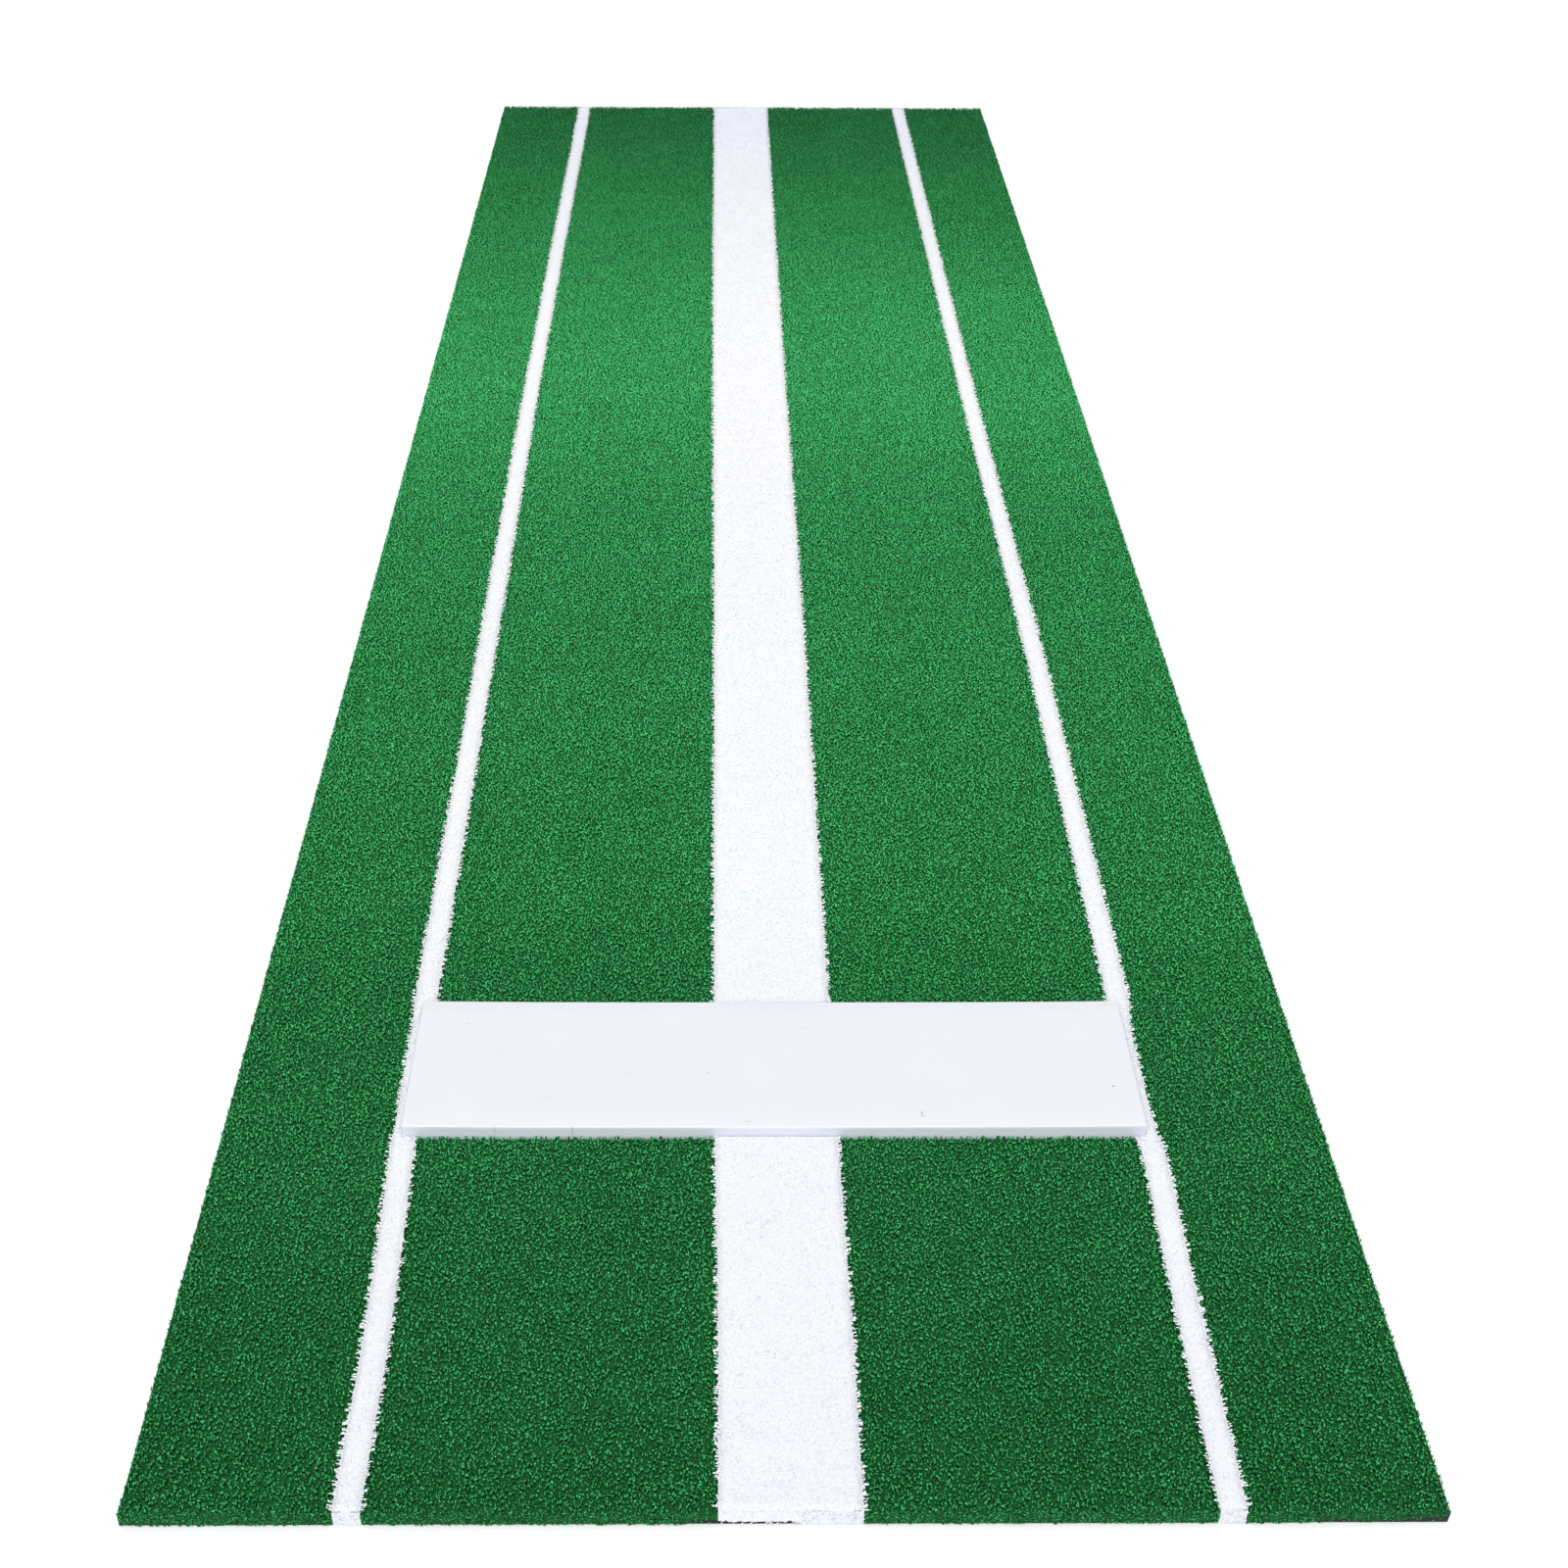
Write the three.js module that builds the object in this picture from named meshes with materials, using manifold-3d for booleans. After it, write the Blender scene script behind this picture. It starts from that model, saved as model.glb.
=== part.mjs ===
// Softball pitching mat: a long artificial-turf lane on a foamed rubber pad, with inlaid white lines
// and a moulded pitching rubber. Millimetres, +Z up. The origin is on the floor under the mat's middle:
// +Y points along the lane towards the batter, +X to the pitcher's right.
import * as THREE from "three";
import { mergeVertices } from "three/addons/utils/BufferGeometryUtils.js";
import Module from "manifold-3d";

const wasm = await Module();
wasm.setup();

// ---- driving dimensions -----------------------------------------------------------------------

// Whole mat
const matWidth = 910;
const matLength = 3048;
const padThickness = 5;
const backingThickness = 1.2;
const pileHeight = 8;

// Pitching rubber: its width across the lane, its depth along it, and its height
const rubberWidth = 612;
const rubberDepth = 152.4;
const rubberHeight = 19;
const rubberEdgeRadius = 1.5;
const rubberSetback = 351; // from the mat's rear end to the rubber's rear face

// White lines let into the green turf
const centreLineWidth = 101.6;
const sideLineWidth = 19;
const sideLineLap = 7.5; // how far an end of the rubber reaches over each side line

// Hidden tapes and patch that join the strips of turf from below
const tapeWidth = 50;
const centreTapeMargin = 25; // what the centre tape reaches past each edge of the centre line
const tapeEndMargin = 20; // between a tape's end and the mat's end
const tapeThickness = 0.6;
const patchMargin = 45; // what the patch reaches past the rubber's front and rear faces

// Hidden fixings that hold the rubber down on the patch
const fixingColumns = 3;
const fixingRows = 2;
const fixingSpacingX = 230;
const fixingSpacingY = 88;
const screwRadius = 3;
const screwHeadRadius = 7;
const screwHeadHeight = 1.7;
const screwEndDepth = 1.5; // how far a screw's end stays below the top of its insert
const socketRadius = 2.3;
const socketDepth = 1;
const washerRadius = 15;
const washerThickness = 1.2;
const insertRadius = 5;
const insertLength = 11;
const insertFlangeRadius = 8.5;
const insertFlangeThickness = 1.5;
const insertFloor = 1.2; // rubber between the insert's lower end and the rubber's underside

// Clearances
const pieceGap = 0.3; // between two pieces that touch in the real mat
const rubberClearance = 0.5; // between the rubber and the turf around it
const padHoleClearance = 2; // between a washer and the hole in the pad round it

const roundSegments = 28;

// ---- derived places -----------------------------------------------------------------------------

const matRear = -matLength / 2;
const matFront = matLength / 2;
const matSide = matWidth / 2;

const padTop = padThickness;
const backingBottom = padTop + pieceGap;
const backingTop = backingBottom + backingThickness;
const pileBottom = backingTop + pieceGap;
const pileTop = pileBottom + pileHeight;

const rubberRear = matRear + rubberSetback;
const rubberFront = rubberRear + rubberDepth;
const rubberMiddle = (rubberRear + rubberFront) / 2;
const rubberSide = rubberWidth / 2;
const rubberBottom = padTop + pieceGap;
const rubberTop = rubberBottom + rubberHeight;
const cutRear = rubberRear - rubberClearance;
const cutFront = rubberFront + rubberClearance;
const cutSide = rubberSide + rubberClearance;

const sideLineInner = rubberSide - sideLineLap;
const sideLineOuter = sideLineInner + sideLineWidth;
const sideLineMiddle = (sideLineInner + sideLineOuter) / 2;
const centreLineSide = centreLineWidth / 2;

const tapeBottom = padTop - tapeThickness;
const patchRear = rubberRear - patchMargin;
const patchFront = rubberFront + patchMargin;
const sideTapeInner = sideLineMiddle - tapeWidth / 2;
const sideTapeOuter = sideLineMiddle + tapeWidth / 2;
const patchSide = sideTapeInner - pieceGap;
const centreTapeSide = centreLineSide + centreTapeMargin;

const washerTop = tapeBottom - pieceGap;
const washerBottom = washerTop - washerThickness;
const screwHeadTop = washerBottom - pieceGap;
const screwHeadBottom = screwHeadTop - screwHeadHeight;
const screwHoleRadius = screwRadius + pieceGap;
const padHoleRadius = washerRadius + padHoleClearance;
const insertBottom = rubberBottom + insertFloor;
const insertTop = insertBottom + insertLength;
const screwTop = insertTop - screwEndDepth;

// ---- materials ------------------------------------------------------------------------------------

function finish(colour, roughness, metalness = 0) {
  return new THREE.MeshStandardMaterial({ color: colour, roughness, metalness });
}

const foamRubber = () => finish(0x1c1d20, 0.95);
const wovenBacking = () => finish(0x26282b, 0.9);
const greenYarn = () => finish(0x1f7a43, 0.7);
const whiteYarn = () => finish(0xf1f3f6, 0.7);
const whiteRubber = () => finish(0xeef0f5, 0.55);
const clothTape = () => finish(0x3a3c40, 0.85);
const patchSheet = () => finish(0x2b2d30, 0.8);
const zincSteel = () => finish(0xb9bdc2, 0.35, 1);
const brassMetal = () => finish(0xb8964a, 0.4, 1);

// ---- shape helpers --------------------------------------------------------------------------------

const mat = new THREE.Group();

function addPiece(name, geometry, material) {
  const mesh = new THREE.Mesh(geometry, material);
  mesh.name = name;
  mat.add(mesh);
  return mesh;
}

// A box between two corners
function boxBetween(x0, x1, y0, y1, z0, z1) {
  const box = new THREE.BoxGeometry(x1 - x0, y1 - y0, z1 - z0);
  box.translate((x0 + x1) / 2, (y0 + y1) / 2, (z0 + z1) / 2);
  return box;
}

// An outline in the XY plane carried up from z0 to z1
function extrudeOutline(points, z0, z1) {
  const shape = new THREE.Shape(points.map(([x, y]) => new THREE.Vector2(x, y)));
  const solid = new THREE.ExtrudeGeometry(shape, { depth: z1 - z0, bevelEnabled: false });
  solid.translate(0, 0, z0);
  return solid;
}

// An upright cylinder from z0 to z1
function uprightCylinder(x, y, radius, z0, z1, segments = roundSegments) {
  const cylinder = new THREE.CylinderGeometry(radius, radius, z1 - z0, segments);
  cylinder.rotateX(Math.PI / 2);
  cylinder.translate(x, y, (z0 + z1) / 2);
  return cylinder;
}

// A closed three.js geometry as a solid for joining and cutting
function solidFrom(geometry) {
  const bare = geometry.clone();
  bare.deleteAttribute("normal");
  bare.deleteAttribute("uv");
  const merged = mergeVertices(bare);
  const mesh = new wasm.Mesh({
    numProp: 3,
    vertProperties: new Float32Array(merged.attributes.position.array),
    triVerts: new Uint32Array(merged.index.array),
  });
  return new wasm.Manifold(mesh);
}

function geometryFrom(solid) {
  const mesh = solid.getMesh();
  const geometry = new THREE.BufferGeometry();
  geometry.setAttribute("position", new THREE.BufferAttribute(mesh.vertProperties, 3));
  geometry.setIndex(new THREE.BufferAttribute(mesh.triVerts, 1));
  const faceted = geometry.toNonIndexed();
  faceted.computeVertexNormals();
  return faceted;
}

function cutAway(geometry, cutters) {
  let solid = solidFrom(geometry);
  for (const cutter of cutters) {
    solid = solid.subtract(solidFrom(cutter));
  }
  return geometryFrom(solid);
}

function joinAll(geometries) {
  let solid = solidFrom(geometries[0]);
  for (const geometry of geometries.slice(1)) {
    solid = solid.add(solidFrom(geometry));
  }
  return geometryFrom(solid);
}

// ---- places of the fixings --------------------------------------------------------------------------

const fixings = [];
for (let row = 0; row < fixingRows; row += 1) {
  for (let column = 0; column < fixingColumns; column += 1) {
    const x = (column - (fixingColumns - 1) / 2) * fixingSpacingX;
    const y = rubberMiddle + (row - (fixingRows - 1) / 2) * fixingSpacingY;
    fixings.push({ number: fixings.length + 1, x, y });
  }
}

// ---- foamed rubber pad --------------------------------------------------------------------------------

// Tapes and patch bed into shallow channels in the pad's top, one gap wider than each piece.
function channelFor(x0, x1, y0, y1) {
  const above = padTop + padThickness;
  return boxBetween(
    x0 - pieceGap,
    x1 + pieceGap,
    y0 - pieceGap,
    y1 + pieceGap,
    tapeBottom - pieceGap,
    above,
  );
}

// Each piece of tape as its name and its edges. The centre tape is in two lengths, with the patch between.
const tapeEnd = matFront - tapeEndMargin;
const joiningPieces = [
  ["left_line_tape", -sideTapeOuter, -sideTapeInner, -tapeEnd, tapeEnd],
  ["right_line_tape", sideTapeInner, sideTapeOuter, -tapeEnd, tapeEnd],
  ["centre_line_rear_tape", -centreTapeSide, centreTapeSide, -tapeEnd, patchRear - pieceGap],
  ["centre_line_front_tape", -centreTapeSide, centreTapeSide, patchFront + pieceGap, tapeEnd],
];

const padCutters = [channelFor(-patchSide, patchSide, patchRear, patchFront)];
for (const [, x0, x1, y0, y1] of joiningPieces) {
  padCutters.push(channelFor(x0, x1, y0, y1));
}
for (const { x, y } of fixings) {
  padCutters.push(uprightCylinder(x, y, padHoleRadius, -padThickness, padTop));
}
const padBlank = boxBetween(-matSide, matSide, matRear, matFront, 0, padTop);
addPiece("foam_pad", cutAway(padBlank, padCutters), foamRubber());

// ---- joining tapes and the patch under the rubber --------------------------------------------------------

for (const [name, x0, x1, y0, y1] of joiningPieces) {
  addPiece(name, boxBetween(x0, x1, y0, y1, tapeBottom, padTop), clothTape());
}

const patchBlank = boxBetween(-patchSide, patchSide, patchRear, patchFront, tapeBottom, padTop);
const patchHoles = fixings.map(({ x, y }) =>
  uprightCylinder(x, y, screwHoleRadius, tapeBottom - padThickness, padTop + padThickness),
);
addPiece("rubber_patch", cutAway(patchBlank, patchHoles), patchSheet());

// ---- strips of turf -----------------------------------------------------------------------------------------

// Each strip is a woven backing with the yarn's pile standing on it, half a gap inside its own outline.
function addStrip(name, outline, yarn) {
  addPiece(name + "_backing", extrudeOutline(outline, backingBottom, backingTop), wovenBacking());
  addPiece(name + "_pile", extrudeOutline(outline, pileBottom, pileTop), yarn);
}

function rectangle(x0, x1, y0, y1) {
  return [
    [x0, y0],
    [x1, y0],
    [x1, y1],
    [x0, y1],
  ];
}

const halfGap = pieceGap / 2;
const outerInnerEdge = sideLineOuter + halfGap;
const lineOuterEdge = sideLineOuter - halfGap;
const lineInnerEdge = sideLineInner + halfGap;
const laneOuterEdge = sideLineInner - halfGap;
const laneInnerEdge = centreLineSide + halfGap;
const centreEdge = centreLineSide - halfGap;

// The side line is notched where an end of the rubber reaches over it.
function sideLineOutline(side) {
  const outline = [
    [lineInnerEdge, matRear],
    [lineOuterEdge, matRear],
    [lineOuterEdge, matFront],
    [lineInnerEdge, matFront],
    [lineInnerEdge, cutFront],
    [cutSide, cutFront],
    [cutSide, cutRear],
    [lineInnerEdge, cutRear],
  ];
  return outline.map(([x, y]) => [side * x, y]);
}

for (const [sideName, side] of [
  ["left", -1],
  ["right", 1],
]) {
  const outer = [side * outerInnerEdge, side * matSide].sort((a, b) => a - b);
  const lane = [side * laneInnerEdge, side * laneOuterEdge].sort((a, b) => a - b);
  addStrip(sideName + "_outer", rectangle(...outer, matRear, matFront), greenYarn());
  addStrip(sideName + "_line", sideLineOutline(side), whiteYarn());
  addStrip(sideName + "_lane_rear", rectangle(...lane, matRear, cutRear), greenYarn());
  addStrip(sideName + "_lane_front", rectangle(...lane, cutFront, matFront), greenYarn());
}
addStrip("centre_line_rear", rectangle(-centreEdge, centreEdge, matRear, cutRear), whiteYarn());
addStrip("centre_line_front", rectangle(-centreEdge, centreEdge, cutFront, matFront), whiteYarn());

// ---- pitching rubber --------------------------------------------------------------------------------------------

// A slab whose long and short edges, above and below, are rounded by a bevel.
function rubberSlab() {
  const inset = rubberEdgeRadius;
  const shape = new THREE.Shape();
  shape.moveTo(-rubberSide + inset, -rubberDepth / 2 + inset);
  shape.lineTo(rubberSide - inset, -rubberDepth / 2 + inset);
  shape.lineTo(rubberSide - inset, rubberDepth / 2 - inset);
  shape.lineTo(-rubberSide + inset, rubberDepth / 2 - inset);
  const slab = new THREE.ExtrudeGeometry(shape, {
    depth: rubberHeight - 2 * rubberEdgeRadius,
    bevelEnabled: true,
    bevelThickness: rubberEdgeRadius,
    bevelSize: rubberEdgeRadius,
    bevelSegments: 3,
  });
  slab.translate(0, rubberMiddle, rubberBottom + rubberEdgeRadius);
  return slab;
}

// Each insert is moulded in: its own shape, one gap larger, is left open down to the slab's underside.
function insertShape(x, y, growth) {
  const top = insertTop + growth;
  const flangeBottom = insertTop - insertFlangeThickness - growth;
  return joinAll([
    uprightCylinder(x, y, insertRadius + growth, insertBottom - growth, top),
    uprightCylinder(x, y, insertFlangeRadius + growth, flangeBottom, top),
  ]);
}

const rubberCutters = [];
for (const { x, y } of fixings) {
  rubberCutters.push(insertShape(x, y, pieceGap));
  rubberCutters.push(uprightCylinder(x, y, screwHoleRadius, 0, insertBottom));
}
addPiece("pitching_rubber", cutAway(rubberSlab(), rubberCutters), whiteRubber());

// ---- fixings ------------------------------------------------------------------------------------------------------

for (const { number, x, y } of fixings) {
  const bore = uprightCylinder(x, y, screwHoleRadius, 0, rubberTop);
  addPiece("rubber_insert_" + number, cutAway(insertShape(x, y, 0), [bore]), brassMetal());

  const disc = uprightCylinder(x, y, washerRadius, washerBottom, washerTop);
  const washerHole = uprightCylinder(x, y, screwHoleRadius, 0, padTop);
  addPiece("patch_washer_" + number, cutAway(disc, [washerHole]), zincSteel());

  const screwBlank = joinAll([
    uprightCylinder(x, y, screwHeadRadius, screwHeadBottom, screwHeadTop),
    uprightCylinder(x, y, screwRadius, screwHeadBottom + socketDepth, screwTop),
  ]);
  const socketTop = screwHeadBottom + socketDepth;
  const socket = uprightCylinder(x, y, socketRadius, -padThickness, socketTop, 6);
  addPiece("patch_screw_" + number, cutAway(screwBlank, [socket]), zincSteel());
}

export default mat;
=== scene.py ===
import math

import bmesh
import bpy
import numpy as np
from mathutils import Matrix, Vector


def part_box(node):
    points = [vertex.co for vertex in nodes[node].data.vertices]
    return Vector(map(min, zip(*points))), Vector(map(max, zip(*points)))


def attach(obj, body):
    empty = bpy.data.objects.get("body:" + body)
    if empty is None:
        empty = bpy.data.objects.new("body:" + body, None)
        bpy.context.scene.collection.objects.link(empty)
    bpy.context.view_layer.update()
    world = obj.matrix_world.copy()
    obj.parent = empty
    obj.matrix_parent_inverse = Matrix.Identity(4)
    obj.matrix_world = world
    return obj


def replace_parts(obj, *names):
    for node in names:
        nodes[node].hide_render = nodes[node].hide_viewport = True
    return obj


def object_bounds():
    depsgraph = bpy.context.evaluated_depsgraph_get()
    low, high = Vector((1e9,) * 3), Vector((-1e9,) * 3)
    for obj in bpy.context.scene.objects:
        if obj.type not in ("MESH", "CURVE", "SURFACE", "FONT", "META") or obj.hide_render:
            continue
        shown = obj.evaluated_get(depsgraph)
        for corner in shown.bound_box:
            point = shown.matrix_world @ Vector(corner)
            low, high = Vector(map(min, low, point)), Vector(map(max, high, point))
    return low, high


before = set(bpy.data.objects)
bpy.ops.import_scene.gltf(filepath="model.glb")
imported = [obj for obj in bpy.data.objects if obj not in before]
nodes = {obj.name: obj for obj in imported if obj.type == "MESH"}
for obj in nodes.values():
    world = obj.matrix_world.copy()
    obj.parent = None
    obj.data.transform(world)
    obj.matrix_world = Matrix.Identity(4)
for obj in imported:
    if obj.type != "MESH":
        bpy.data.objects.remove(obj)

cad_low, cad_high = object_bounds()


# ---- foam pad ------------------------------------------------------------------------------------
# The lowest layer is one sheet of black foamed rubber, die-cut to the mat's outline. Its top has shallow
# channels for the joining tapes, and round holes leave room for the fixings. Its cut edges are eased.

MM = 0.001


def material(name):
    """A new material, its shader, and a function that adds a node with given inputs and settings."""
    made = bpy.data.materials.new(name)
    made.use_nodes = True
    tree = made.node_tree

    def node(kind, inputs=None, **settings):
        added = tree.nodes.new("ShaderNode" + kind)
        for key, value in settings.items():
            setattr(added, key, value)
        for key, value in (inputs or {}).items():
            if isinstance(value, bpy.types.NodeSocket):
                tree.links.new(value, added.inputs[key])
            else:
                added.inputs[key].default_value = value
        return added

    return made, tree.nodes["Principled BSDF"], node


def feed(shader, **sockets):
    """Sets or joins the shader's inputs, whose names are written with _ for each space."""
    for name, value in sockets.items():
        socket = shader.inputs[name.replace("_", " ")]
        if isinstance(value, bpy.types.NodeSocket):
            shader.id_data.links.new(value, socket)
        else:
            socket.default_value = value


def ramp(node, factor, stops):
    """A colour ramp over factor: each stop is a place from 0 to 1 and a colour."""
    added = node("ValToRGB", {"Fac": factor})
    elements = added.color_ramp.elements
    while len(elements) < len(stops):
        elements.new(0.5)
    for element, (place, colour) in zip(elements, stops):
        element.position = place
        element.color = (*colour, 1)
    return added.outputs["Color"]


def finish_piece(piece, made, replaced):
    """Gives a piece its material, rides it on the mat and hides the node it stands for."""
    piece.data.materials.clear()
    piece.data.materials.append(made)
    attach(piece, "root")
    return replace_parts(piece, replaced)


def foam_material():
    """Black foamed rubber: closed cells as small pits, and a dusty, uneven black."""
    made, shader, node = material("foamed_rubber")
    place = node("TexCoord").outputs["Object"]
    dust = node("TexNoise", {"Vector": place, "Scale": 35.0, "Detail": 6.0}).outputs["Fac"]
    cells = node("TexVoronoi", {"Vector": place, "Scale": 900.0}).outputs["Distance"]
    colour = ramp(node, dust, [(0.3, (0.012, 0.013, 0.017)), (0.75, (0.03, 0.031, 0.038))])
    dull = node("MapRange", {"Value": dust, "To Min": 0.85, "To Max": 1.0}).outputs["Result"]
    pits = node("Bump", {"Height": cells, "Strength": 0.6, "Distance": 0.5 * MM}).outputs["Normal"]
    feed(shader, Base_Color=colour, Roughness=dull, Normal=pits, Specular_IOR_Level=0.2)
    return made


def merged_copy(name, source, easing, segments):
    """A copy of a node's mesh with its loose triangles merged, flat faces joined and its edges eased."""
    mesh = source.data.copy()
    mesh.name = name
    work = bmesh.new()
    work.from_mesh(mesh)
    bmesh.ops.remove_doubles(work, verts=work.verts, dist=0.01 * MM)
    bmesh.ops.dissolve_limit(work, angle_limit=math.radians(1), verts=work.verts, edges=work.edges)
    work.to_mesh(mesh)
    work.free()
    piece = bpy.data.objects.new(name, mesh)
    bpy.context.scene.collection.objects.link(piece)
    ease = piece.modifiers.new("eased_edges", "BEVEL")
    ease.width = easing
    ease.segments = segments
    ease.limit_method = "ANGLE"
    return piece


PAD_EASING = 0.25 * MM

foam_pad = merged_copy("foam_pad_sheet", nodes["foam_pad"], PAD_EASING, 2)
finish_piece(foam_pad, foam_material(), "foam_pad")


# ---- joining tapes and patch ---------------------------------------------------------------------
# Thin cloth tapes with a rubbery adhesive run under the seams of the turf, and a thicker reinforced
# sheet lies under the pitching rubber to take the pull of its screws. All are laid in the pad's top.

WEAVE_PITCH = 1.6 * MM


def sheet_points(low, high, step, sag, seed):
    """A laid sheet: a grid of about one point per step across its length and width, once at its top and
    once at its underside, both moved up or down by the same soft random swell of at most sag."""
    columns, rows = (max(2, round((high[i] - low[i]) / step) + 1) for i in (0, 1))
    x, y = np.meshgrid(np.linspace(low[0], high[0], columns), np.linspace(low[1], high[1], rows))
    random = np.random.default_rng(seed)
    swell = np.zeros_like(x)
    for turn, phase in random.uniform(0, 2 * math.pi, (5, 2)):
        along = x * math.cos(turn) + y * math.sin(turn)
        swell += np.sin(along * 70 + phase) / 5
    swell *= sag
    top = np.stack([x, y, high[2] - sag + swell], axis=-1)
    under = np.stack([x, y, low[2] + sag + swell], axis=-1)
    return np.concatenate([under.reshape(-1, 3), top.reshape(-1, 3)]), rows, columns


def closed_grid_faces(rows, columns):
    """Quads of a lower and an upper grid of rows by columns points, and of the walls that join them."""
    row, column = np.meshgrid(np.arange(rows - 1), np.arange(columns - 1), indexing="ij")
    corner = (row * columns + column).ravel()
    upper = np.stack([corner, corner + 1, corner + columns + 1, corner + columns], axis=1)
    upper += rows * columns
    lower = upper[:, ::-1] - rows * columns
    first, last = np.arange(columns), (rows - 1) * columns + np.arange(columns)
    left, right = np.arange(rows) * columns, np.arange(rows) * columns + columns - 1
    rim = np.concatenate([first, right[1:], last[::-1][1:], left[::-1][1:-1]])
    after = np.roll(rim, -1)
    walls = np.stack([rim, after, after + rows * columns, rim + rows * columns], axis=1)
    return np.concatenate([lower, upper, walls])


def mesh_object(name, points, faces, smooth=False, uv=None):
    """A mesh object from arrays of points and of faces. smooth is one value, or one for each face, and uv
    has one pair of numbers per point."""
    mesh = bpy.data.meshes.new(name)
    mesh.from_pydata(points.tolist(), [], faces if isinstance(faces, list) else faces.tolist())
    mesh.polygons.foreach_set("use_smooth", np.zeros(len(mesh.polygons), bool) | smooth)
    if uv is not None:
        corner = np.empty(len(mesh.loops), np.int32)
        mesh.loops.foreach_get("vertex_index", corner)
        layer = mesh.uv_layers.new(name="OFBake")
        layer.uv.foreach_set("vector", uv[corner].astype(np.float32).ravel())
    piece = bpy.data.objects.new(name, mesh)
    bpy.context.scene.collection.objects.link(piece)
    return piece


def woven_material(name, dark, light, pitch):
    """Plain woven cloth: two crossed waves as warp and weft, uneven dyeing, and a little rubbery shine."""
    made, shader, node = material(name)
    place = node("TexCoord").outputs["Object"]
    warp, weft = (
        node("TexWave", {"Vector": place, "Scale": 0.31416 / pitch, "Distortion": 0.4},
             bands_direction=way).outputs["Fac"]
        for way in ("X", "Y")
    )
    cloth = node("Math", {0: warp, 1: weft}, operation="MULTIPLY").outputs["Value"]
    tone = node("TexNoise", {"Vector": place, "Scale": 60.0, "Detail": 5.0}).outputs["Fac"]
    shade = node("Math", {0: cloth, 1: tone, 2: 0.15}, operation="MULTIPLY_ADD").outputs["Value"]
    colour = ramp(node, shade, [(0.1, dark), (0.7, light)])
    dull = node("MapRange", {"Value": tone, "To Min": 0.75, "To Max": 0.95}).outputs["Result"]
    threads = node("Bump", {"Height": cloth, "Strength": 0.7, "Distance": 0.3 * MM}).outputs["Normal"]
    feed(shader, Base_Color=colour, Roughness=dull, Normal=threads)
    return made


def laid_sheet(name, node_name, made, step, sag, seed):
    """A sheet of cloth in the place of a flat node, the size of the node."""
    low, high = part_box(node_name)
    points, rows, columns = sheet_points(low, high, step, sag, seed)
    piece = mesh_object(name, points, closed_grid_faces(rows, columns))
    finish_piece(piece, made, node_name)


TAPES = ("left_line_tape", "right_line_tape", "centre_line_rear_tape", "centre_line_front_tape")
TAPE_STEP = 16 * MM
TAPE_SAG = 0.08 * MM

tape_cloth = woven_material("tape_cloth", (0.03, 0.031, 0.035), (0.09, 0.092, 0.1), WEAVE_PITCH)
patch_cloth = woven_material("patch_cloth", (0.02, 0.021, 0.023), (0.06, 0.062, 0.066), 2 * WEAVE_PITCH)
for seed, tape in enumerate(TAPES):
    laid_sheet(tape + "_cloth", tape, tape_cloth, TAPE_STEP, TAPE_SAG, seed)
patch = merged_copy("rubber_patch_cloth", nodes["rubber_patch"], 0.1 * MM, 1)
finish_piece(patch, patch_cloth, "rubber_patch")


# ---- turf: yarn and backing ----------------------------------------------------------------------
# Each strip of turf is a woven backing with short curly yarn tufted through it, green for the lanes and
# white for the lines. Strips are laid edge to edge over the tapes along seams that waver a little, and
# white yarn leans out over the green beside it. Along the mat's ends yarn hangs over the cut.

rubber_low, rubber_high = (np.array(corner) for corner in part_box("pitching_rubber"))
mat_rear, mat_front, mat_side = cad_low[1], cad_high[1], cad_high[0]
pile_low, pile_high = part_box("left_outer_pile")
PILE_BASE = pile_low[2]
PILE_HEIGHT = pile_high[2] - pile_low[2]
SEAM_X = (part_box("left_line_pile")[0][0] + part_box("left_line_pile")[1][0]) / 2
# how far each seam wavers to the right, in millimetres, at places along the mat in metres
SEAM_Y = (-1.52, -1.4, -1.3, -1.21, -1.185, -1.165, -1.035, -1.015, -0.98, -0.4, 0.2, 0.8, 1.3, 1.52)
LEFT_SEAM = (8.7, 9.7, 8, 5, 3.5, 4.5, 4, 2, 2, 1.3, 0, 2, 6, 7)
CENTRE_SEAM = (3.5, 3.5, 3, 1.5, 1.2, 1, 0.8, 0.6, 0.5, 0, -2.5, -4, -4.5, -4.5)
RIGHT_SEAM = (-2, -1.5, -0.5, 1.5, 1, -3, -3, 1.5, 2, 1, -5.5, -9, -12, -13)
# the side lines are cut away round the rubber's ends: the gap left at the end, the room left at its front
# and rear, and where the bed has extra rows of points so that the cut is sharp
NOTCH_GAP = 0.5 * MM
NOTCH_ROOM = 0.8 * MM
NOTCH_ROWS = np.array([1.4, 0.2]) * MM
# how close yarn may come to the rubber, and how far from its ends the line's yarn is pressed back
RUBBER_ROOM = 0.15 * MM
PRESSED_GAP = 0.2 * MM
# the mat's rear right corner has worn back
CORNER_WORN = 90 * MM
CORNER_RETREAT = 0.4 * MM


def smooth_step(value):
    """0 below 0, 1 above 1, and a soft S between."""
    clipped = np.clip(value, 0, 1)
    return clipped * clipped * (3 - 2 * clipped)


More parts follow.
